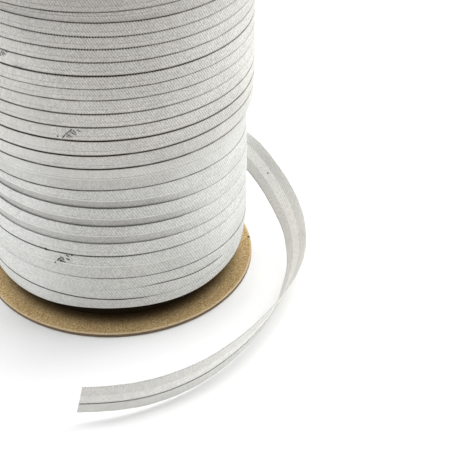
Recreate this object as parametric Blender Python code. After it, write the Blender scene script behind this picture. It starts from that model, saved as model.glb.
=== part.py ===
"""Roll of bias tape on a round board disc, with its loose end looped round the front.

The object stands on the XY plane with the roll's axis on Z. The front of the roll faces -Y.
"""

import math

import bmesh
import bpy
from mathutils import Vector

MM = 0.001

# Board disc that the roll stands on
DISC_RADIUS = 80.4 * MM
DISC_THICKNESS = 2.5 * MM
DISC_EDGE_ROUNDING = 0.3 * MM
DISC_SEGMENTS = 96

# Wound roll
ROLL_TOP = 240 * MM
TURN_SEGMENTS = 60
LIP = 0.8 * MM
LIP_FADE_TURNS = 0.25
FIRST_TURN = 0.5

# Lower end, which draws in under the outer wraps, and the upper end's shoulder
NECK_RADIUS = 64 * MM
LOWER_EDGE_HEIGHT = 15.8 * MM
UNDERCUT_DROP = 1.5 * MM
UPPER_EDGE_HEIGHT = 236.5 * MM
TOP_FACE_RADIUS = 76 * MM

# Radius of the wraps at a height, both in millimetres
WRAP_PROFILE = (
    # height, radius
    (15.8, 74.6),
    (27.0, 76.6),
    (40.0, 77.5),
    (104.0, 77.5),
    (114.0, 81.4),
    (130.0, 82.0),
    (228.0, 82.0),
    (236.5, 80.4),
)

# Lower edges of the wraps at the front, from the bottom up, in millimetres: the rise from the edge
# below, and the tilt, which is how much higher the edge runs at +X and lower at -X.
WRAP_EDGES = (
    # rise, tilt
    (8.2, -1.0),
    (15.5, 0.4),
    (15.2, 0.7),
    (8.7, -0.6),
    (11.4, -1.1),
    (11.5, -1.1),
    (11.0, 1.2),
    (15.5, 1.5),
    (8.8, 2.0),
    (8.8, 0.9),
    (7.8, 0.6),
    (7.5, 0.3),
    (7.7, -0.1),
    (6.5, 0.0),
    (7.0, -0.6),
    (7.2, -1.0),
    (7.0, -1.1),
    (6.8, -1.5),
    (7.4, -2.0),
    (5.5, -0.4),
    (7.0, 0.0),
    (7.2, 0.3),
    (6.9, 0.2),
    (7.1, 0.0),
    (6.8, 0.0),
)

# Folded tape: a cloth layer whose two long edges turn back over it as flaps
TAPE_WIDTH = 18 * MM
FLAP_WIDTH = 6 * MM
LAYER = 1.0 * MM
FLAP_GAP = 0.3 * MM
TAPE_THICKNESS = 2 * LAYER + FLAP_GAP

# Gap between solids that touch
SEAT_GAP = 0.3 * MM

# Loose end, from the back of the roll clockwise to its cut. Bearings are degrees from +X,
# radius and height give the middle of the tape in millimetres, and turn is how far the smooth
# side has rolled over from facing out, through facing up at 90, to facing in at 180 degrees.
LOOSE_END = (
    # bearing, radius, height, turn
    (134, 78.95, 52.0, 0),
    (119, 79.2, 52.0, 1),
    (104, 82.0, 51.8, 9),
    (90, 86.7, 50.3, 30),
    (76, 91.5, 47.3, 57),
    (62, 96.0, 43.1, 86),
    (48, 99.3, 38.2, 112),
    (34, 100.2, 33.4, 130),
    (21, 99.6, 29.4, 136),
    (9, 101.0, 24.9, 136),
    (-3, 105.3, 17.5, 139),
    (-15, 108.0, 9.9, 142),
    (-27, 109.4, 8.4, 147),
    (-39, 112.6, 9.0, 157),
    (-51, 117.4, 9.4, 164),
    (-63, 123.9, 9.6, 169),
    (-75, 131.8, 10.0, 174),
    (-87, 140.2, 12.2, 178),
    (-100, 150.0, 18.3, 178),
)
STEPS_PER_ROW = 4


def clear_scene():
    for old in list(bpy.data.objects):
        bpy.data.objects.remove(old, do_unlink=True)


def plain_material(name, colour, roughness):
    material = bpy.data.materials.new(name)
    material.use_nodes = True
    shader = material.node_tree.nodes["Principled BSDF"]
    shader.inputs["Base Color"].default_value = (*colour, 1)
    shader.inputs["Roughness"].default_value = roughness
    shader.inputs["Metallic"].default_value = 0
    return material


def add_object(name, mesh_data, material, sharp_angle=30):
    """Close a bmesh into a named, smooth shaded object with its material."""
    bmesh.ops.recalc_face_normals(mesh_data, faces=mesh_data.faces)
    mesh = bpy.data.meshes.new(name)
    mesh_data.to_mesh(mesh)
    mesh_data.free()
    mesh.shade_smooth()
    mesh.set_sharp_from_angle(angle=math.radians(sharp_angle))
    mesh.materials.append(material)
    piece = bpy.data.objects.new(name, mesh)
    bpy.context.collection.objects.link(piece)
    return piece


def smooth_curve(rows, position):
    """Value of a Catmull-Rom curve through equally spaced rows, at a position counted in rows."""
    first = min(int(position), len(rows) - 2)
    t = position - first
    a, b = Vector(rows[first]), Vector(rows[first + 1])
    before = Vector(rows[first - 1]) if first > 0 else 2 * a - b
    after = Vector(rows[first + 2]) if first + 2 < len(rows) else 2 * b - a
    return 0.5 * (
        2 * a
        + (b - before) * t
        + (2 * before - 5 * a + 4 * b - after) * t ** 2
        + (3 * a - before - 3 * b + after) * t ** 3
    )


def wrap_radius(height):
    """Outer radius of the wraps at a height, read from the profile's straight stretches."""
    z = height / MM
    for (low, low_radius), (high, high_radius) in zip(WRAP_PROFILE, WRAP_PROFILE[1:]):
        if z <= high:
            share = max(0, (z - low) / (high - low))
            return (low_radius + share * (high_radius - low_radius)) * MM
    return WRAP_PROFILE[-1][1] * MM


def round_the_axis(radius, turns, height):
    """Point on the roll, counting turns clockwise from the front."""
    angle = 2 * math.pi * turns
    return Vector((-radius * math.sin(angle), -radius * math.cos(angle), height))


def build_disc():
    """Flat disc of brown board, its edge slightly worn."""
    board = bmesh.new()
    bmesh.ops.create_cone(
        board, cap_ends=True, segments=DISC_SEGMENTS, radius1=DISC_RADIUS, radius2=DISC_RADIUS,
        depth=DISC_THICKNESS,
    )
    rim_edges = [edge for edge in board.edges if abs(edge.verts[0].co.z - edge.verts[1].co.z) < MM / 10]
    bmesh.ops.bevel(board, geom=rim_edges, offset=DISC_EDGE_ROUNDING, segments=1, affect="EDGES")
    bmesh.ops.translate(board, verts=board.verts, vec=(0, 0, DISC_THICKNESS / 2))
    add_object("base_disc", board, plain_material("kraft_board", (0.45, 0.31, 0.18), 0.85))


def build_winding():
    """Wound tape as one solid: a single helix of wraps, each lower edge lying over the wrap below."""
    edges = [(LOWER_EDGE_HEIGHT / MM, 0)]
    for rise, tilt in WRAP_EDGES:
        edges.append((edges[-1][0] + rise, tilt))
    last_turn = len(WRAP_EDGES) - FIRST_TURN
    steps = round((last_turn - FIRST_TURN) * TURN_SEGMENTS)

    roll = bmesh.new()

    def ring(radius, height):
        return [
            roll.verts.new(round_the_axis(radius, FIRST_TURN + step / TURN_SEGMENTS, height))
            for step in range(TURN_SEGMENTS)
        ]

    tucked, lips = [], []
    for step in range(steps + 1):
        turns = FIRST_TURN + step / TURN_SEGMENTS
        level, tilt = smooth_curve(edges, turns)
        height = (level - tilt * math.sin(2 * math.pi * turns)) * MM
        fade = min(1, (turns - FIRST_TURN) / LIP_FADE_TURNS, (last_turn - turns) / LIP_FADE_TURNS)
        radius = wrap_radius(height)
        tucked.append(roll.verts.new(round_the_axis(radius - LIP * fade, turns, height)))
        if 0 < step < steps:
            lips.append(roll.verts.new(round_the_axis(radius, turns, height)))
        else:
            lips.append(tucked[-1])

    # Underside of each lip, then the face of each wrap up to where the next one covers it
    for step in range(steps):
        corners = (tucked[step], tucked[step + 1], lips[step + 1], lips[step])
        roll.faces.new(list(dict.fromkeys(corners)))
    for step in range(steps - TURN_SEGMENTS):
        above = step + TURN_SEGMENTS
        roll.faces.new((lips[step], lips[step + 1], tucked[above + 1], tucked[above]))

    # Drawn-in lower end and the shoulder at the top, as level rings joined to the helix
    lower_edge = ring(wrap_radius(LOWER_EDGE_HEIGHT), LOWER_EDGE_HEIGHT)
    neck_top = ring(NECK_RADIUS, LOWER_EDGE_HEIGHT - UNDERCUT_DROP)
    neck_foot = ring(NECK_RADIUS, DISC_THICKNESS + SEAT_GAP)
    upper_edge = ring(wrap_radius(UPPER_EDGE_HEIGHT), UPPER_EDGE_HEIGHT)
    top_edge = ring(TOP_FACE_RADIUS, ROLL_TOP)
    top_start = steps - TURN_SEGMENTS
    for step in range(TURN_SEGMENTS):
        after = (step + 1) % TURN_SEGMENTS
        for lower, upper in ((neck_foot, neck_top), (neck_top, lower_edge), (upper_edge, top_edge)):
            roll.faces.new((lower[step], lower[after], upper[after], upper[step]))
        low_side = [lower_edge[step], lower_edge[after], tucked[step + 1], tucked[step]]
        high_side = [lips[top_start + step], lips[top_start + step + 1], upper_edge[after], upper_edge[step]]
        if step == 0:
            high_side.append(tucked[steps])
        if after == 0:
            low_side.insert(2, tucked[0])
        roll.faces.new(low_side)
        roll.faces.new(high_side)
    roll.faces.new(neck_foot)
    roll.faces.new(top_edge)
    add_object("wound_tape", roll, plain_material("grey_cotton_wound", (0.56, 0.56, 0.54), 0.9))


def folded_section():
    """Outline of the folded tape: across its width, and out from its middle to the smooth side."""
    edge, smooth, back = TAPE_WIDTH / 2, TAPE_THICKNESS / 2, -TAPE_THICKNESS / 2
    pocket_end = edge - LAYER
    flap_end = edge - FLAP_WIDTH
    half = [
        (edge - LAYER / 2, smooth),
        (edge, smooth - LAYER / 2),
        (edge, back + LAYER / 2),
        (edge - LAYER / 2, back),
        (flap_end, back),
        (flap_end, back + LAYER),
        (pocket_end, back + LAYER),
        (pocket_end, smooth - LAYER),
    ]
    return half + [(-across, out) for across, out in reversed(half)]


def build_loose_end():
    """Folded tape that leaves the roll at the back, turns over and comes to rest round the front."""
    spans = (len(LOOSE_END) - 1) * STEPS_PER_ROW
    samples = [smooth_curve(LOOSE_END, step / STEPS_PER_ROW) for step in range(spans + 1)]
    middles = []
    for bearing, radius, height, _ in samples:
        angle = math.radians(bearing)
        middles.append(Vector((radius * math.cos(angle), radius * math.sin(angle), height)) * MM)

    strip = bmesh.new()
    outline = folded_section()
    rings = []
    for step, middle in enumerate(middles):
        along = middles[min(step + 1, spans)] - middles[max(step - 1, 0)]
        outward = along.cross(Vector((0, 0, -1))).normalized()
        if outward.dot(middle) < 0:
            outward.negate()
        upward = along.normalized().cross(outward)
        if upward.z < 0:
            upward.negate()
        turn = math.radians(samples[step][3])
        smooth_side = math.cos(turn) * outward + math.sin(turn) * upward
        across = math.sin(turn) * outward - math.cos(turn) * upward
        rings.append([strip.verts.new(middle + a * across + b * smooth_side) for a, b in outline])
    for ring, following in zip(rings, rings[1:]):
        for corner in range(len(outline)):
            after = (corner + 1) % len(outline)
            strip.faces.new((ring[corner], ring[after], following[after], following[corner]))
    strip.faces.new(rings[0])
    strip.faces.new(rings[-1])
    add_object("loose_end", strip, plain_material("grey_cotton_tape", (0.6, 0.6, 0.57), 0.9))


clear_scene()
build_disc()
build_winding()
build_loose_end()
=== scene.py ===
import math

import bmesh
import bpy
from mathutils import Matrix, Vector, noise


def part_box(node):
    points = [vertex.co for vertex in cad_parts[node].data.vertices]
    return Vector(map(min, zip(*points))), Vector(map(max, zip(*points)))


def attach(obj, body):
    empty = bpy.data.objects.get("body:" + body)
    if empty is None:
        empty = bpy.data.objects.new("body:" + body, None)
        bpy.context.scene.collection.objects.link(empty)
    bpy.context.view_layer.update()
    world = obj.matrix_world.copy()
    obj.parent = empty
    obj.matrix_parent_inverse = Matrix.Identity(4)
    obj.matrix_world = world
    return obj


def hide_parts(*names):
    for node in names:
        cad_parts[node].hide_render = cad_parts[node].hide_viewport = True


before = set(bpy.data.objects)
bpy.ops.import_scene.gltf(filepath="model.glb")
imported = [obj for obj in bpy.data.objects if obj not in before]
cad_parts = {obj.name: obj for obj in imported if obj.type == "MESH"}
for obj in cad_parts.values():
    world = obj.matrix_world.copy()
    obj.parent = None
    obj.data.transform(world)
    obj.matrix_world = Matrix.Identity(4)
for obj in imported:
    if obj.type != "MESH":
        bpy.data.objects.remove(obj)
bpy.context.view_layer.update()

# Board disc: a flat disc stamped from thick brown kraft board, which the roll stands on. The board
# has speckled fibres, a paler ragged rim that is a painted highlight, a small nick at the right and
# a darker cut edge, with painted brown shade right under the winding and across the front.

MM = 0.001
KRAFT_DARK = (0.50, 0.335, 0.145)
KRAFT_PALE = (0.59, 0.41, 0.19)
PALE_FIBRE = (0.80, 0.63, 0.38)
DARK_PIT = (0.15, 0.09, 0.03)
FRONT_SHADE = (0.07, 0.045, 0.015)
RIM_HIGHLIGHT = (0.68, 0.55, 0.38)
CUT_EDGE = (0.17, 0.125, 0.085)
DISC_SHADE = (0.04, 0.018, 0.002)
NICK_BROWN = (0.03, 0.018, 0.01)
NICK_PLACE = (79.5 * MM, 1.4 * MM)


class Socket:
    """A shader value that can be written in sums, products and powers."""

    def __init__(self, finish, link):
        self.finish = finish
        self.link = link

    def _math(self, operation, *values):
        return self.finish.node("ShaderNodeMath", {"operation": operation}, values)

    def __add__(self, other):
        return self._math("ADD", self, other)

    def __sub__(self, other):
        return self._math("SUBTRACT", self, other)

    def __rsub__(self, other):
        return self._math("SUBTRACT", other, self)

    def __mul__(self, other):
        return self._math("MULTIPLY", self, other)

    def __pow__(self, other):
        return self._math("POWER", self, other)

    __radd__ = __add__
    __rmul__ = __mul__

    def sine(self):
        return self._math("SINE", self)

    def above(self, low, high):
        """0 below low, 1 above high and smooth between them."""
        settings = {"interpolation_type": "SMOOTHSTEP"}
        return self.finish.node("ShaderNodeMapRange", settings, (self, low, high, 0, 1))


class Finish:
    """A material whose nodes are added one by one to its Principled BSDF."""

    def __init__(self, name):
        self.material = bpy.data.materials.new(name)
        self.material.use_nodes = True
        self.tree = self.material.node_tree
        self.shader = self.tree.nodes["Principled BSDF"]

    def fill(self, node, sockets):
        """Set or link a node's sockets, given by their names or their places in its list."""
        for key, value in sockets.items():
            if isinstance(value, Socket):
                self.tree.links.new(value.link, node.inputs[key])
            else:
                node.inputs[key].default_value = value

    def node(self, kind, settings, sockets=(), output=0):
        made = self.tree.nodes.new(kind)
        for name, setting in settings.items():
            setattr(made, name, setting)
        self.fill(made, sockets if isinstance(sockets, dict) else dict(enumerate(sockets)))
        return Socket(self, made.outputs[output])

    def mixed(self, share, first, second):
        """A colour between two colours."""
        first, second = [(*c, 1) if isinstance(c, tuple) else c for c in (first, second)]
        colours = {0: share, 6: first, 7: second}
        return self.node("ShaderNodeMix", {"data_type": "RGBA"}, colours, output=2)

    def place(self):
        return self.node("ShaderNodeTexCoord", {}, output="Object")

    def parts(self, vector):
        """The X, Y and Z of a vector."""
        return [self.node("ShaderNodeSeparateXYZ", {}, [vector], output=axis) for axis in "XYZ"]

    def kept(self, name):
        """The three values that the mesh's points keep under a name."""
        return self.parts(self.node("ShaderNodeAttribute", {"attribute_name": name}, output="Vector"))

    def speckle(self, coordinates, scale, detail=2, roughness=0.5):
        """Noise between 0 and 1 at a number of features a metre."""
        sockets = {"Vector": coordinates, "Scale": scale, "Detail": detail, "Roughness": roughness}
        return self.node("ShaderNodeTexNoise", {}, sockets)

    def feed(self, **sockets):
        self.fill(self.shader, {name.replace("_", " "): value for name, value in sockets.items()})

    def relief(self, height, depth, strength=1.0):
        """Fine relief: height from 0 to 1, of a depth in metres."""
        sockets = {"Strength": strength, "Distance": depth, "Height": height}
        self.feed(Normal=self.node("ShaderNodeBump", {}, sockets))


def board_finish():
    kraft = Finish("kraft_board")
    place = kraft.place()
    x, y, z = kraft.parts(place)
    reach = (x * x + y * y) ** 0.5

    cloud = kraft.speckle(place, 60, 3)
    fibres = kraft.speckle(place, 900, 4, 0.7)
    pits = kraft.speckle(place, 1500, 1)
    tan = kraft.mixed(cloud.above(0.3, 0.7), KRAFT_DARK, KRAFT_PALE)
    tan = kraft.mixed(fibres.above(0.50, 0.62) * 0.8, tan, PALE_FIBRE)
    tan = kraft.mixed(pits.above(0.54, 0.62) * 0.7, tan, DARK_PIT)
    # painted shade across the front of the disc, where the roll shades it
    front_shade = (x * 0.6 - y).above(35 * MM, 78 * MM)
    tan = kraft.mixed(front_shade * 0.27, tan, FRONT_SHADE)
    # a paler ragged rim: painted highlight along the board's top edge
    ragged = (kraft.speckle(place, 420, 1) - 0.5) * (1.2 * MM) + reach
    rim = ragged.above(DISC_RADIUS - 1.5 * MM, DISC_RADIUS - 0.6 * MM)
    tan = kraft.mixed(rim * 0.5, tan, RIM_HIGHLIGHT)
    side = reach.above(DISC_RADIUS - 0.22 * MM, DISC_RADIUS - 0.1 * MM)
    side = side * (1 - z.above(DISC_THICKNESS - 0.5 * MM, DISC_THICKNESS - 0.2 * MM))
    tan = kraft.mixed(side, tan, CUT_EDGE)
    # painted brown shade on the board right under the winding's overhang
    shade_under_winding = 1 - reach.above(64 * MM, 74.5 * MM)
    tan = kraft.mixed(shade_under_winding * 0.9, tan, DISC_SHADE)
    off_x, off_y = x - NICK_PLACE[0], y - NICK_PLACE[1]
    nick = 1 - ((off_x * off_x + off_y * off_y) ** 0.5).above(0.6 * MM, 1.3 * MM)
    tan = kraft.mixed(nick * 0.95, tan, NICK_BROWN)
    kraft.feed(Base_Color=tan, Roughness=0.85, Specular_IOR_Level=0.15)
    kraft.relief(fibres * 0.6 + cloud * 0.4, 0.15 * MM, 0.6)
    return kraft.material


DISC_RADIUS, _, DISC_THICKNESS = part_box("base_disc")[1]
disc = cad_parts["base_disc"]
disc.data.materials.clear()
disc.data.materials.append(board_finish())

# Wound tape: folded tape of bias-cut cotton, wound on in one long helix. Each wrap lies over the
# upper part of the wrap below and curls in along its lower edge, so that a crevice runs between
# them, its line painted dark as shade. On the wide wraps a painted highlight marks the fold where
# the curl begins.

ROLL_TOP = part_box("wound_tape")[1][2]
ROLL_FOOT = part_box("wound_tape")[0][2]
ROLL_RADIUS = 82 * MM
NECK_RADIUS = 64 * MM
LOWER_EDGE = 15.8 * MM
UPPER_EDGE = 236.5 * MM
TURN_STEPS = 180
FIRST_TURN = 0.5
FADE_TURNS = 0.4
# How far a wrap's foot drops behind the lip below it, for each millimetre that it is turned in
TUCK = 0.73
# Most that a wrap is turned in round the right side, and the height below which a wrap's detail
# shrinks with it, in millimetres
INSET_RIGHT = 0.4
FULL_ROW = 3
TOP_RINGS = 44
OUTER_RING = 76.4 * MM
INNER_RING = 4 * MM

# Radius of the wraps at a height, in millimetres
WRAP_PROFILE = (
    # height, radius
    (15.8, 74.6),
    (27.0, 76.6),
    (40.0, 77.5),
    (104.0, 77.5),
    (114.0, 81.4),
    (130.0, 82.0),
    (228.0, 82.0),
    (236.5, 80.4),
)

# Crevices between the wraps, from the bottom up, in millimetres and in shares of 1. Rise is from the
# crevice below, at the front, tilt how much higher the crevice runs at +X, and bow how much higher
# at both sides. Width, gloom and broken say how wide and dark the painted shade of its line is, and
# how much the weave breaks it up, and lean how fast it fades towards +X, or -X below 0. Curl is how
# high the wrap above is turned in, inset how far, shade how much painted shade dulls it there, and
# fold highlight how strong the painted highlight on the fold above that is.
CREVICES = (
    # rise, tilt, bow, width, gloom, lean, broken, curl, inset, shade, fold highlight
    (0.0, 0.0, 0.0, 0.6, 0.0, 0.0, 0.0, 3.0, 0.4, 0.0, 0.0),
    (7.4, -1.1, 0.3, 0.9, 1.0, 2.5, 0.15, 2.2, 0.3, 0.0, 0.0),
    (15.9, 0.2, -1.0, 0.8, 0.7, -1.2, 0.5, 8.7, 0.5, 0.05, 0.8),
    (14.9, 0.4, -0.9, 1.0, 1.0, 1.0, 0.15, 2.4, 0.4, 0.0, 0.0),
    (8.55, -0.9, -1.0, 0.6, 0.4, -0.2, 0.2, 5.2, 1.3, 0.25, 0.5),
    (11.1, -1.5, -0.3, 0.6, 0.5, 0.4, 0.2, 4.8, 1.5, 0.3, 0.6),
    (11.85, -1.6, -1.3, 0.6, 0.55, 0.4, 0.2, 4.8, 1.5, 0.3, 0.6),
    (11.5, 1.5, -2.8, 0.8, 0.8, 0.4, 0.3, 7.0, 0.6, 0.1, 0.4),
    (15.1, 1.5, -0.6, 1.5, 1.0, 0.5, 0.05, 2.4, 0.4, 0.0, 0.0),
    (8.7, 1.6, 0.1, 1.15, 1.0, 0.5, 0.05, 2.4, 0.4, 0.0, 0.0),
    (8.8, 0.55, -0.2, 1.25, 1.0, 0.45, 0.1, 2.4, 0.4, 0.0, 0.0),
    (8.1, 0.4, 0.1, 0.95, 0.95, 0.4, 0.4, 2.2, 0.3, 0.0, 0.0),
    (7.4, 0.0, -0.1, 1.0, 0.95, 0.9, 0.3, 2.2, 0.3, 0.0, 0.0),
    (8.0, -0.3, -1.0, 0.8, 0.8, 0.6, 0.45, 2.2, 0.3, 0.0, 0.0),
    (6.3, -0.3, -0.2, 0.75, 0.75, 0.35, 0.7, 2.2, 0.3, 0.0, 0.0),
    (6.8, -0.8, 0.0, 1.2, 1.0, 0.3, 0.1, 2.4, 0.4, 0.0, 0.0),
    (7.5, -1.4, 0.7, 0.9, 0.9, 0.5, 0.55, 2.2, 0.3, 0.0, 0.0),
    (7.1, -1.6, 0.3, 0.95, 0.95, 0.65, 0.5, 2.2, 0.3, 0.0, 0.0),
    (6.5, -2.2, 1.8, 0.95, 0.95, 0.7, 0.6, 2.2, 0.3, 0.0, 0.0),
    (7.3, -2.3, 1.5, 1.05, 0.85, 0.4, 0.15, 3.6, 1.1, 0.12, 0.0),
    (5.7, -0.3, 1.4, 0.85, 0.75, 0.7, 0.45, 2.2, 0.3, 0.0, 0.0),
    (7.3, 0.0, 0.5, 0.8, 0.8, 0.3, 0.3, 2.2, 0.4, 0.0, 0.0),
    (7.2, 0.3, 0.0, 0.7, 0.6, 0.3, 0.7, 2.2, 0.3, 0.0, 0.0),
    (6.9, 0.2, 0.0, 0.8, 0.8, 0.3, 0.3, 2.2, 0.4, 0.0, 0.0),
    (7.1, 0.0, 0.0, 0.7, 0.7, 0.3, 0.5, 2.2, 0.3, 0.0, 0.0),
    (6.8, 0.0, 0.0, 0.6, 0.0, 0.0, 0.2, 2.2, 0.3, 0.0, 0.0),
)
LAST_TURN = len(CREVICES) - 1 - FIRST_TURN

# The lower edge rises and falls a few times a turn, in millimetres and turns
EDGE_WAVE = 0.6
EDGE_WAVES = 5
EDGE_CREST = 0.015
EDGE_DROP = 0.1
# A second, shallow crease runs round the right of the lowest wide wrap, its line painted dark as
# shade, in millimetres
CREASE_HEIGHT = 31.4
CREASE_DIP = 1.85


def through_rows(rows, position):
    """Value of a smooth curve through equally spaced rows, at a position counted in rows."""
    first = max(0, min(int(position), len(rows) - 2))
    t = position - first
    a, b = Vector(rows[first]), Vector(rows[first + 1])
    before = Vector(rows[first - 1]) if first > 0 else 2 * a - b
    after = Vector(rows[first + 2]) if first + 2 < len(rows) else 2 * b - a
    return 0.5 * (
        2 * a
        + (b - before) * t
        + (2 * before - 5 * a + 4 * b - after) * t ** 2
        + (3 * a - before - 3 * b + after) * t ** 3
    )


def eased(value, low, high):
    """0 below low, 1 above high and smooth between them."""
    share = max(0, min(1, (value - low) / (high - low)))
    return share * share * (3 - 2 * share)


def wrap_radius(height):
    z = height / MM
    for (low, low_radius), (high, high_radius) in zip(WRAP_PROFILE, WRAP_PROFILE[1:]):
        if z <= high:
            share = max(0, (z - low) / (high - low))
            return (low_radius + share * (high_radius - low_radius)) * MM
    return WRAP_PROFILE[-1][1] * MM


def round_the_axis(radius, turns, height):
    """Point on the roll, counting turns clockwise from the front."""
    angle = 2 * math.pi * turns
    return Vector((-radius * math.sin(angle), -radius * math.cos(angle), height))


crevice_levels = []
for rise, tilt, bow, *_ in CREVICES:
    level = crevice_levels[-1][0] + rise if crevice_levels else LOWER_EDGE / MM
    crevice_levels.append((level, tilt, bow))
crevice_looks = [row[3:] for row in CREVICES]


def lower_edge(turns):
    wave = EDGE_WAVE * math.cos(2 * math.pi * EDGE_WAVES * (turns - EDGE_CREST))
    return LOWER_EDGE + (wave - EDGE_DROP) * MM


def unevenness(turns, pace, row, seed):
    """Smooth noise between -1 and 1 along the winding, with about pace features a turn."""
    return noise.noise(Vector((turns * pace, row, seed)))


def crevice_height(turns):
    """Height of the crevice. It starts at the winding's lower edge and ends at its upper edge."""
    if turns <= FIRST_TURN:
        return lower_edge(turns)
    if turns >= LAST_TURN:
        return UPPER_EDGE
    level, tilt, bow = through_rows(crevice_levels, turns)
    side = math.sin(2 * math.pi * turns)
    wander = 0.14 * unevenness(turns, 2.6, 0.3, 7.1) + 0.12 * unevenness(turns, 37, 3, 1)
    height = (level - tilt * side + bow * side * side + wander) * MM
    low = lower_edge(turns)
    height = low + (height - low) * eased(turns, FIRST_TURN, FIRST_TURN + FADE_TURNS)
    return height + (UPPER_EDGE - height) * eased(turns, LAST_TURN - FADE_TURNS, LAST_TURN)


def crevice_depth(turns):
    """How fully the crevice is there: none at its two ends."""
    return eased(turns, FIRST_TURN + 0.38, FIRST_TURN + 0.48) * (
        1 - eased(turns, LAST_TURN - FADE_TURNS, LAST_TURN - 0.2)
    )


def crevice_look(turns):
    """Each crevice keeps its own look round the front and changes to the next one's at the back."""
    row = math.floor(turns)
    return through_rows(crevice_looks, row + eased(turns - row, 0.3, 0.7))


def crevice_gloom(turns):
    """How dark the crevice's line of painted shade is at one place."""
    _, gloom, lean, *_ = crevice_look(turns)
    patchy = 1 + 0.25 * unevenness(turns, 23, 1.7, 4.4) + 0.3 * unevenness(turns, 71, 0, 9)
    leaning = max(0, min(1, 1 + lean * math.sin(2 * math.pi * turns)))
    return min(1, gloom * patchy) * leaning * crevice_depth(turns)


def wrap_face(turns, low, high):
    """Points up the face of one wrap, from where it is tucked in behind the lip of the wrap below
    to its own lip: height, how far in, how much painted shade on the crevice line, how much
    painted highlight on the fold and how much painted shade on the turned-in band."""
    width, _, _, _, curl, inset, shade, fold_highlight = crevice_look(turns)
    gloom, gloom_above = crevice_gloom(turns), crevice_gloom(turns + 1)
    row = (high - low) / MM
    small = min(1, row / FULL_ROW)
    right = eased(-math.sin(2 * math.pi * turns), 0.2, 0.75)
    shade *= 1 - right
    fold_highlight *= 1 - 0.6 * right
    inset -= max(0, inset - INSET_RIGHT) * right
    inset *= max(crevice_depth(turns), turns < FIRST_TURN + FADE_TURNS) * small
    width *= small
    curl = min(curl * small, 0.55 * row)
    foot = -TUCK * inset

    def turned_in(rise):
        return inset * max(0, 1 - (rise - foot) / (curl - foot))

    fading = (1 - 0.7 * eased(turns, 0.95, 0.99)) * (1 - eased(turns, 1.0, 1.05))
    crease = eased(turns, 0.85, 0.88) * fading
    crease_rise = CREASE_HEIGHT - CREASE_DIP * (1 - eased(turns, 0.9, 0.965)) - low / MM
    crease_rise = min(max(crease_rise, curl + 1.5 * small), row - 1.3 * small)
    # the winding's lowest edge gets the same painted highlight
    rim = 1 - eased(turns, FIRST_TURN - 0.05, FIRST_TURN)
    points = (
        (foot - 0.4 * small, inset + 0.9 * small, gloom, rim, shade),
        (foot, inset + 0.3 * small, gloom, rim, shade),
        (foot + 0.6 * width, turned_in(foot + 0.6 * width) + 0.08 * small, gloom, rim, shade),
        (foot + width, turned_in(foot + width), 0.55 * gloom, 0.7 * rim, shade),
        (foot + 1.4 * width, turned_in(foot + 1.4 * width), 0, 0, shade),
        ((foot + 1.4 * width + curl) / 2, turned_in((foot + 1.4 * width + curl) / 2), 0, 0, shade),
        (curl - 0.3 * small, turned_in(curl - 0.3 * small), 0, 0, shade),
        (curl, -0.06 * small, 0, fold_highlight, 0),
        (curl + 0.5 * small, -0.1 * small, 0, fold_highlight * 0.6, 0),
        (curl + 1.0 * small, -0.06 * small, 0, 0, 0),
        (crease_rise - 0.5 * small, 0, 0, 0, 0),
        # the crease's line is painted shade
        (crease_rise - 0.2 * small, 0.2 * crease, 0.9 * crease, 0, 0),
        (crease_rise + 0.2 * small, 0.2 * crease, 0.9 * crease, 0, 0),
        (crease_rise + 0.5 * small, 0, 0, 0, 0),
        (row - 0.7 * small, 0, 0, 0, 0),
        (row - 0.3 * small, 0.06 * small, 0, 0, 0),
        (row - 0.1 * small, 0.2 * small, 0.6 * gloom_above, 0, 0),
        (row, 0.5 * small, gloom_above, 0, 0),
    )
    return [(low + rise * MM, depth * MM, *look) for rise, depth, *look in points]


def new_piece(name, shape, material, sharp=None):
    """Turn a bmesh into a smooth shaded object that rides with the roll."""
    bmesh.ops.recalc_face_normals(shape, faces=shape.faces)
    mesh = bpy.data.meshes.new(name)
    shape.to_mesh(mesh)
    shape.free()
    mesh.shade_smooth()
    if sharp:
        mesh.set_sharp_from_angle(angle=math.radians(sharp))
    mesh.materials.append(material)
    piece = bpy.data.objects.new(name, mesh)
    bpy.context.collection.objects.link(piece)
    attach(piece, "root")
    return piece


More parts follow.
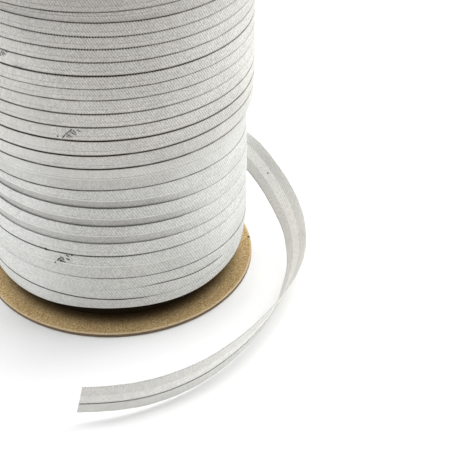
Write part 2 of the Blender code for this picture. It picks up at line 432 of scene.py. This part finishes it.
def wind_tape():
    """The helix of wraps with its drawn-in foot and its flat top, as one closed mesh."""
    roll = bmesh.new()
    cloth = roll.verts.layers.float_vector.new("cloth")
    gap = roll.verts.layers.float_vector.new("gap")
    total = (len(CREVICES) - 1) * TURN_STEPS

    def add(spot, run, rise, dark=0.0, broken=0.0, fold_highlight=0.0, shade=0.0):
        vertex = roll.verts.new(spot)
        vertex[cloth] = (run, rise, shade)
        vertex[gap] = (dark, broken, fold_highlight)
        return vertex

    first_low = lower_edge(FIRST_TURN)
    start = add(round_the_axis(wrap_radius(first_low), FIRST_TURN, first_low), 0, 0)
    end = add(round_the_axis(wrap_radius(UPPER_EDGE), LAST_TURN, UPPER_EDGE), 0, 0)
    columns = [[start]]
    for step in range(1, total):
        turns = FIRST_TURN - 1 + step / TURN_STEPS
        low, high = crevice_height(turns), crevice_height(turns + 1)
        _, _, _, broken, *_ = crevice_look(turns)
        run = -2 * math.pi * turns * ROLL_RADIUS
        column = []
        for height, depth, dark, fold_highlight, shade in wrap_face(turns, low, high):
            swell = 0.1 * MM * unevenness(turns, 9, height * 90, 2.2)
            spot = round_the_axis(wrap_radius(height) - depth + swell, turns, height)
            column.append(add(spot, run, height - low, dark, broken, fold_highlight, shade))
        if step == TURN_STEPS:
            column[0] = start
        if step == total - TURN_STEPS:
            column[-1] = end
        columns.append(column)
    columns.append([end])

    def span(*corners):
        corners = list(dict.fromkeys(corners))
        if len(corners) > 2:
            roll.faces.new(corners)

    count = len(columns[1])
    for right, left in zip(columns, columns[1:]):
        rights = right * count if len(right) == 1 else right
        lefts = left * count if len(left) == 1 else left
        for place in range(count - 1):
            span(rights[place], rights[place + 1], lefts[place + 1], lefts[place])
    for step in range(total - TURN_STEPS):
        above = step + TURN_STEPS
        span(columns[step][-1], columns[above][0], columns[above + 1][0], columns[step + 1][-1])

    def close(rim, rings):
        """Level rings from a rim inwards, and one small flat face at the axis."""
        for radius, height, dark in rings:
            ring = []
            for step, outer in enumerate(rim):
                turns = FIRST_TURN + step / len(rim)
                ring.append(add(round_the_axis(radius, turns, height), outer[cloth][0], height, dark))
            for step in range(len(rim)):
                after = (step + 1) % len(rim)
                span(rim[step], rim[after], ring[after], ring[step])
            rim = ring
        roll.faces.new(rim)

    # The foot's dark is painted shade on the drawn-in foot, deep under the winding
    foot = [
        # radius, height, dark
        (72.4 * MM, LOWER_EDGE - 0.75 * MM, 0.5),
        (70.6 * MM, LOWER_EDGE - 1.0 * MM, 0.9),
        (NECK_RADIUS + 1.5 * MM, LOWER_EDGE - 1.6 * MM, 1.0),
        (NECK_RADIUS, LOWER_EDGE - 3.0 * MM, 1.0),
        (NECK_RADIUS, ROLL_FOOT + 0.4 * MM, 1.0),
        (NECK_RADIUS - 0.6 * MM, ROLL_FOOT, 1.0),
    ]
    close([column[0] for column in columns[:TURN_STEPS]], foot)

    shoulder = [
        (80.1 * MM, UPPER_EDGE + 1.2 * MM, 0),
        (79.2 * MM, UPPER_EDGE + 2.3 * MM, 0),
        (77.8 * MM, UPPER_EDGE + 3.1 * MM, 0),
    ]
    for number in range(TOP_RINGS):
        radius = OUTER_RING + (INNER_RING - OUTER_RING) * number / (TOP_RINGS - 1)
        groove = number % 2
        # every second ring is a groove, painted darker as shade
        sunk = 0.45 * groove + 0.25 * noise.noise(Vector((number * 0.7, 5.0, 1.0)))
        shoulder.append((radius, ROLL_TOP - max(0, sunk) * MM, 0.35 * groove))
    top_rim = [column[-1] for column in columns[total - TURN_STEPS:total]]
    close(top_rim, shoulder)
    loose = [vertex for vertex in roll.verts if not vertex.link_faces]
    bmesh.ops.delete(roll, geom=loose, context="VERTS")
    return roll


BIAS = math.radians(31)
FINE_PITCH = 1.2 * MM
COARSE_PITCH = 1.45 * MM
SHADED_THREAD = (0.38, 0.37, 0.34)
LIT_THREAD = (0.92, 0.90, 0.86)
COOL_TINT = (0.54, 0.72, 0.80)
PAINTED_SHADE = (0.085, 0.062, 0.058)
FOLD_HIGHLIGHT = (0.86, 0.85, 0.81)
CREVICE_SHADE = (0.022, 0.013, 0.006)


def woven(finish, pitch, grain):
    """Cotton cut on the bias: fine slanting ridges, slubs and a faint cross thread."""
    run, across, _ = finish.kept("cloth")
    place = finish.place()
    slant = run * math.cos(BIAS) + across * math.sin(BIAS)
    cross = run * math.sin(BIAS) - across * math.cos(BIAS)
    drift = finish.speckle(place, 260, 2)
    ridge = (slant * (2 * math.pi / pitch) + drift * 1.5).sine() * 0.5 + 0.5
    thread = (cross * (2 * math.pi / (0.8 * pitch)) + drift * 1.5).sine() * 0.5 + 0.5
    slub = finish.speckle(place, grain, 1).above(0.36, 0.64)
    return ridge * 0.45 + thread * 0.15 + slub * 0.4


def wound_finish():
    cotton = Finish("wound_cotton")
    place = cotton.place()
    height = cotton.parts(place)[2]
    upper = height.above(85 * MM, 135 * MM)
    fine = woven(cotton, FINE_PITCH, 1150)
    coarse = woven(cotton, COARSE_PITCH, 900) * 0.8 + 0.1
    weave = coarse + (fine - coarse) * upper
    mottled = weave * 0.8 + cotton.speckle(place, 30, 2).above(0.3, 0.7) * 0.12
    tone = cotton.mixed(mottled, SHADED_THREAD, LIT_THREAD)
    tone = cotton.mixed(0.06 - upper * 0.06, tone, COOL_TINT)
    gap, broken, fold_highlight = cotton.kept("gap")
    run, _, shade = cotton.kept("cloth")
    thread = (run * (2 * math.pi * math.cos(BIAS) / FINE_PITCH)).sine() * 0.5 + 0.5
    line = gap * (1 - broken * thread)
    # painted shade: the wraps are darker towards the top, and the turned-in bands below the folds are
    # dulled
    top_shade = height.above(80 * MM, 130 * MM) * 0.06 + height.above(165 * MM, 235 * MM) * 0.3
    tone = cotton.mixed(top_shade + shade, tone, PAINTED_SHADE)
    # painted highlight on the fold where a wrap's curl begins, and along the winding's lowest edge
    tone = cotton.mixed(fold_highlight * 0.6, tone, FOLD_HIGHLIGHT)
    # the crevice lines: painted shade where each wrap tucks in behind the lip below
    tone = cotton.mixed(line.above(0.0, 0.95), tone, CREVICE_SHADE)
    cotton.feed(Base_Color=tone, Roughness=0.92, Specular_IOR_Level=0.15)
    cotton.relief(weave, 0.12 * MM, 0.6)
    return cotton.material


wound = new_piece("tape_winding", wind_tape(), wound_finish())
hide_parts("wound_tape")

# Piecing seams: bias tape is cut in short lengths and sewn end to end on a slant. Three such seams
# come round to the front, each a slanting row of strands with frayed cotton threads slanting away and
# a few thick blobs in the crevices beside it, all dark grey: painted shade of the seam and threads.

FRAY_SHADE_DARK = (0.02, 0.018, 0.015)
FRAY_SHADE_PALE = (0.13, 0.12, 0.105)
STRANDS = (
    # turns and height in mm at both ends, radius in mm
    (0.0478, 131.6, 0.0447, 133.5, 0.28),
    (0.0444, 133.8, 0.0418, 135.2, 0.22),
    (0.0416, 135.2, 0.0370, 137.3, 0.25),
    (0.0438, 132.9, 0.0400, 132.2, 0.16),
    (0.0426, 134.1, 0.0370, 132.3, 0.2),
    (0.0393, 136.0, 0.0357, 134.4, 0.17),
    (0.0376, 134.6, 0.0328, 134.2, 0.16),
    (0.0363, 136.7, 0.0336, 135.0, 0.18),
    (0.0323, 137.1, 0.0287, 135.7, 0.16),
    (0.0530, 132.5, 0.0512, 132.3, 0.4),
    (0.0754, 47.5, 0.0738, 47.9, 0.45),
    (0.0720, 49.2, 0.0694, 50.8, 0.38),
    (0.0694, 50.8, 0.0657, 52.4, 0.25),
    (0.0684, 51.1, 0.0676, 48.5, 0.26),
    (0.0674, 49.9, 0.0616, 48.8, 0.28),
    (0.0652, 52.1, 0.0637, 50.3, 0.26),
    (0.0610, 51.9, 0.0566, 50.9, 0.28),
    (0.0606, 54.2, 0.0572, 53.2, 0.26),
    (0.0862, 55.5, 0.0838, 54.9, 0.55),
    (0.0548, 54.6, 0.0524, 54.7, 0.5),
    (0.1060, 174.6, 0.1050, 172.0, 0.2),
    (0.1040, 175.3, 0.1014, 172.6, 0.17),
    (0.1019, 175.1, 0.0986, 173.4, 0.2),
    (0.0999, 176.2, 0.0962, 174.9, 0.17),
    (0.0912, 168.4, 0.0820, 168.0, 0.3),
)

# How thick a strand is at five points along it, as a share of its radius
STRAND_TAPER = (0.5, 1, 0.85, 1, 0.35)
STRAND_SIDES = 6


def join_rings(shape, rings):
    """Skin a row of rings with faces and close both ends."""
    sides = len(rings[0])
    for ring, following in zip(rings, rings[1:]):
        for corner in range(sides):
            after = (corner + 1) % sides
            shape.faces.new((ring[corner], ring[after], following[after], following[corner]))
    shape.faces.new(rings[0])
    shape.faces.new(rings[-1])


def lay_strands():
    """One closed tube for each strand, arched a little off the cloth."""
    threads = bmesh.new()
    for first, low, last, high, thick in STRANDS:
        middles = []
        for number in range(len(STRAND_TAPER)):
            share = number / (len(STRAND_TAPER) - 1)
            turns, height = first + (last - first) * share, (low + (high - low) * share) * MM
            lift = 0.08 + 0.25 * math.sin(math.pi * share)
            middles.append(round_the_axis(wrap_radius(height) + lift * MM, turns, height))
        along = (middles[-1] - middles[0]).normalized()
        outward = Vector((middles[2].x, middles[2].y, 0)).normalized()
        across = along.cross(outward)
        rings = []
        for middle, girth in zip(middles, STRAND_TAPER):
            ring = []
            for corner in range(STRAND_SIDES):
                angle = 2 * math.pi * corner / STRAND_SIDES
                spoke = math.cos(angle) * across + math.sin(angle) * outward
                ring.append(threads.verts.new(middle + spoke * (thick * girth * MM)))
            rings.append(ring)
        join_rings(threads, rings)
    return threads


frayed = Finish("frayed_thread_shade")
tangle = frayed.speckle(frayed.place(), 1400)
# dark grey: painted shade of the raised threads and the seam's groove
fray_shade = frayed.mixed(tangle.above(0.35, 0.65), FRAY_SHADE_DARK, FRAY_SHADE_PALE)
frayed.feed(Base_Color=fray_shade, Roughness=0.95, Specular_IOR_Level=0.15)
frayed.relief(tangle, 0.1 * MM)
new_piece("tape_joins", lay_strands(), frayed.material)

# Loose end: the free end of the tape, a strip of bias-cut cotton with both long edges turned back
# as flaps. It leaves the roll at the back, rolls over once on its way round the right side, so that
# the flaps face out at the front, and ends in a slanting cut just off the surface.

STEPS_PER_ROW = 56
# Half the cloth's thickness in millimetres
HALF_CLOTH = 0.18
# The fine teeth along both folds, and how far the cut slants for each millimetre across
TOOTH_PITCH = 1.5 * MM
CUT_SLANT = 0.11
# A dark speck on the smooth side: how far along the tape and across it
SPECK_RUN = 187.1 * MM
SPECK_ACROSS = 0.6 * MM

# Bearings are degrees from +X, radius and height give the middle of the tape in millimetres, and
# turn is how far the smooth side has rolled over from facing out, through up at 90, to in at 180.
LOOSE_END = (
    # bearing, radius, height, turn
    (134, 78.05, 52.0, 0),
    (119, 78.5, 52.0, 1),
    (104, 82.0, 51.8, 9),
    (90, 86.7, 50.3, 30),
    (76, 91.5, 47.3, 57),
    (62, 96.0, 43.1, 86),
    (48, 99.3, 38.2, 112),
    (34, 100.2, 33.4, 130),
    (21, 99.6, 29.4, 136),
    (9, 101.0, 24.9, 136),
    (-3, 105.3, 17.5, 139),
    (-15, 108.0, 9.9, 142),
    (-27, 109.4, 8.4, 147),
    (-39, 112.6, 9.0, 157),
    (-51, 117.4, 9.4, 164),
    (-63, 123.9, 9.6, 169),
    (-75, 131.8, 10.0, 174),
    (-87.1, 139.2, 11.4, 178),
    (-100.2, 146.2, 15.3, 178),
)

# Half of the folded section in millimetres: across from the middle, out towards the smooth side,
# how much painted shade lies in the pocket, and whether the cloth is double there. The last points
# run from the flap's raw edge down into the pocket and back to the middle.
HALF_SECTION = (
    # across, out, dark, double
    (0.0, 0.18, 0, 0),
    (1.5, 0.18, 0, 0),
    (2.7, 0.18, 0, 0),
    (3.2, 0.20, 0, 1),
    (5.0, 0.22, 0, 1),
    (7.0, 0.23, 0, 1),
    (8.3, 0.20, 0, 1),
    (8.8, 0.08, 0, 1),
    (9.0, -0.18, 0, 1),
    (8.9, -0.46, 0, 1),
    (8.5, -0.66, 0, 1),
    (7.6, -0.74, 0, 1),
    (6.0, -0.80, 0, 1),
    (4.4, -0.86, 0, 1),
    (3.3, -0.92, 0, 1),
    (3.02, -0.86, 0.1, 1),
    (3.0, -0.70, 0.5, 1),
    (3.1, -0.56, 1, 1),
    (4.4, -0.50, 1, 1),
    (6.0, -0.44, 1, 1),
    (7.6, -0.38, 1, 1),
    (8.4, -0.30, 1, 1),
    (8.3, -0.20, 1, 1),
    (6.0, -0.18, 1, 1),
    (3.6, -0.18, 1, 1),
    (2.8, -0.18, 0.35, 0.5),
    (2.3, -0.18, 0, 0),
    (1.0, -0.18, 0, 0),
)


def fold_tape():
    """The folded section carried along the tape as one closed mesh, and the tape's length."""
    strip = bmesh.new()
    cloth = strip.verts.layers.float_vector.new("cloth")
    gap = strip.verts.layers.float_vector.new("gap")
    spans = (len(LOOSE_END) - 1) * STEPS_PER_ROW
    samples = [through_rows(LOOSE_END, step / STEPS_PER_ROW) for step in range(spans + 1)]
    middles = []
    for bearing, radius, height, _ in samples:
        angle = math.radians(bearing)
        middles.append(Vector((radius * math.cos(angle), radius * math.sin(angle), height)) * MM)

    mirrored = [(-across, *rest) for across, *rest in reversed(HALF_SECTION[1:])]
    outline = list(HALF_SECTION) + mirrored
    rings, run = [], 0.0
    for step, middle in enumerate(middles):
        along = (middles[min(step + 1, spans)] - middles[max(step - 1, 0)]).normalized()
        run += (middle - middles[max(step - 1, 0)]).length
        outward = along.cross(Vector((0, 0, -1))).normalized()
        if outward.dot(middle) < 0:
            outward.negate()
        upward = along.cross(outward)
        if upward.z < 0:
            upward.negate()
        turn = math.radians(samples[step][3])
        smooth_side = math.cos(turn) * outward + math.sin(turn) * upward
        sideways = math.sin(turn) * outward - math.cos(turn) * upward
        opened = eased(step / spans, 0.7, 0.93)
        # painted shade on the tape near the roll, which the roll shades
        root_shade = 1 - eased(step / spans, 0.44, 0.58)
        ring = []
        for across, out, dark, double in outline:
            edge = eased(abs(across), 7.5, 9.0)
            side = 1 if across > 0 else -1
            tooth = 0.14 * math.sin(2 * math.pi * run / TOOTH_PITCH + side)
            tooth += 0.15 * noise.noise(Vector((run * 300, side * 3.0, 0.5)))
            wave = 0.10 * noise.noise(Vector((run * 40, side * 2.0, 4.0)))
            wide = across + side * (edge * tooth + eased(abs(across), 1, 3) * wave)
            if out < -HALF_CLOTH:
                out = (out + HALF_CLOTH) * (0.35 + 0.45 * opened) - HALF_CLOTH
            askew = CUT_SLANT * eased(step / spans, 0.9, 1) * wide
            spot = middle + (wide * sideways + out * smooth_side - askew * along) * MM
            vertex = strip.verts.new(spot)
            vertex[cloth] = (run, across * MM, root_shade)
            vertex[gap] = (dark * (0.35 + 0.65 * opened), double, edge)
            ring.append(vertex)
        rings.append(ring)
    join_rings(strip, rings)
    return strip, run


SMOOTH_SHADED = (0.69, 0.675, 0.635)
SMOOTH_LIT = (0.99, 0.985, 0.955)
DOUBLED_SHADE = (0.25, 0.235, 0.21)
ROOT_SHADE = (0.14, 0.155, 0.16)
SPECK = (0.05, 0.045, 0.04)
TEETH_SHADE = (0.12, 0.11, 0.095)
POCKET_SHADE = (0.08, 0.06, 0.05)


def folded_finish():
    cotton = Finish("folded_cotton")
    weave = woven(cotton, 1.4 * MM, 800)
    single = cotton.mixed(weave, SMOOTH_SHADED, SMOOTH_LIT)
    gap, double, edge = cotton.kept("gap")
    run, across, root_shade = cotton.kept("cloth")
    # painted shade: the doubled cloth lets less of the light from behind through
    twice = cotton.mixed(root_shade * 0.12 + 0.2, single, DOUBLED_SHADE)
    tone = cotton.mixed(double.above(0.3, 0.7), single, twice)
    # painted shade near the roll
    tone = cotton.mixed(root_shade * 0.31, tone, ROOT_SHADE)
    ahead, aside = run - SPECK_RUN, across - SPECK_ACROSS
    speck = 1 - ((ahead * ahead + aside * aside) ** 0.5).above(0.4 * MM, 0.9 * MM)
    tone = cotton.mixed(speck * 0.8, tone, SPECK)
    tooth = (run * (2 * math.pi / TOOTH_PITCH)).sine() * 0.5 + 0.5
    # painted shade along the folded edges, broken into fine teeth
    tone = cotton.mixed(edge.above(0.5, 1) * (tooth * 0.35 + 0.15), tone, TEETH_SHADE)
    # painted shade in the pocket under the flap's raw edge
    tone = cotton.mixed(gap.above(0.2, 1.0), tone, POCKET_SHADE)
    cotton.feed(Base_Color=tone, Roughness=0.92, Specular_IOR_Level=0.15)
    cotton.relief(weave, 0.12 * MM, 0.6)
    return cotton.material


strip, tape_run = fold_tape()
tail = new_piece("loose_tape", strip, folded_finish(), sharp=60)
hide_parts("loose_end")

# Table top, light and camera: a plain white table top, broad soft light from above and from both
# sides, and a camera that looks down at the roll from close by.

TABLE_WHITE = (0.80, 0.795, 0.785, 1)
STUDIO_WHITE = (1, 0.98, 0.96, 1)
LIGHT_AIM = Vector((0, 0, 0.08))
# Place of the camera in roll radii, and its angles in degrees
CAMERA_BACK = 7.599
CAMERA_UP = 5.665
CAMERA_TILT = 36.34
CAMERA_PAN = -6.49
CAMERA_ROLL = -0.38

floor_mesh = bmesh.new()
bmesh.ops.create_grid(floor_mesh, x_segments=2, y_segments=2, size=2.5)
table_top = bpy.data.meshes.new("table_top")
floor_mesh.to_mesh(table_top)
floor_mesh.free()
white = Finish("table_white")
white.feed(Base_Color=TABLE_WHITE, Roughness=0.9)
table_top.materials.append(white.material)
floor = bpy.data.objects.new("table_top", table_top)
bpy.context.collection.objects.link(floor)

scene = bpy.context.scene
scene.view_settings.view_transform = "Standard"
world = bpy.data.worlds.new("studio")
world.use_nodes = True
studio_glow = world.node_tree.nodes["Background"].inputs
studio_glow["Color"].default_value = STUDIO_WHITE
studio_glow["Strength"].default_value = 0.35
scene.world = world

SOFT_BOXES = (
    # name, place, size, power, colour
    ("overhead", (0.06, 0.5, 1.47), 1.0, 14.5, (1, 1, 1)),
    ("left_box", (-1.35, -0.1, 0.6), 1.2, 8.8, (0.9, 0.955, 1)),
    ("left_high", (-1.0, 0.0, 1.2), 0.9, 6.9, (0.95, 0.975, 1)),
    ("right_box", (1.4, 0.2, 0.7), 1.2, 4.7, (0.93, 0.97, 1)),
    ("right_high", (1.0, 0.0, 1.2), 0.9, 8.9, (0.95, 0.975, 1)),
    ("right_low", (1.1, -0.2, 0.3), 0.5, 2.2, (0.93, 0.97, 1)),
    ("back_left", (-0.9, 0.6, 1.1), 0.8, 2.2, (1, 1, 1)),
    ("back_right", (0.9, 0.6, 1.1), 0.8, 7.0, (1, 1, 1)),
    ("back_wall", (0.0, 1.9, 0.9), 2.2, 10.7, (1, 1, 1)),
)
for name, spot, size, power, colour in SOFT_BOXES:
    light = bpy.data.lights.new(name, "AREA")
    light.size = size
    light.energy = power
    light.color = colour
    lamp = bpy.data.objects.new(name, light)
    lamp.location = spot
    lamp.rotation_euler = (LIGHT_AIM - Vector(spot)).to_track_quat("-Z", "Y").to_euler()
    bpy.context.collection.objects.link(lamp)

camera_data = bpy.data.cameras.new("camera")
camera_data.sensor_width = 36
camera_data.lens = 97.33
camera = bpy.data.objects.new("camera", camera_data)
camera.location = (0, -CAMERA_BACK * ROLL_RADIUS, CAMERA_UP * ROLL_RADIUS + DISC_THICKNESS)
camera.rotation_euler = (math.radians(90 - CAMERA_TILT), 0, math.radians(CAMERA_PAN))
camera.rotation_euler.rotate_axis("Z", math.radians(CAMERA_ROLL))
bpy.context.collection.objects.link(camera)
scene.camera = camera
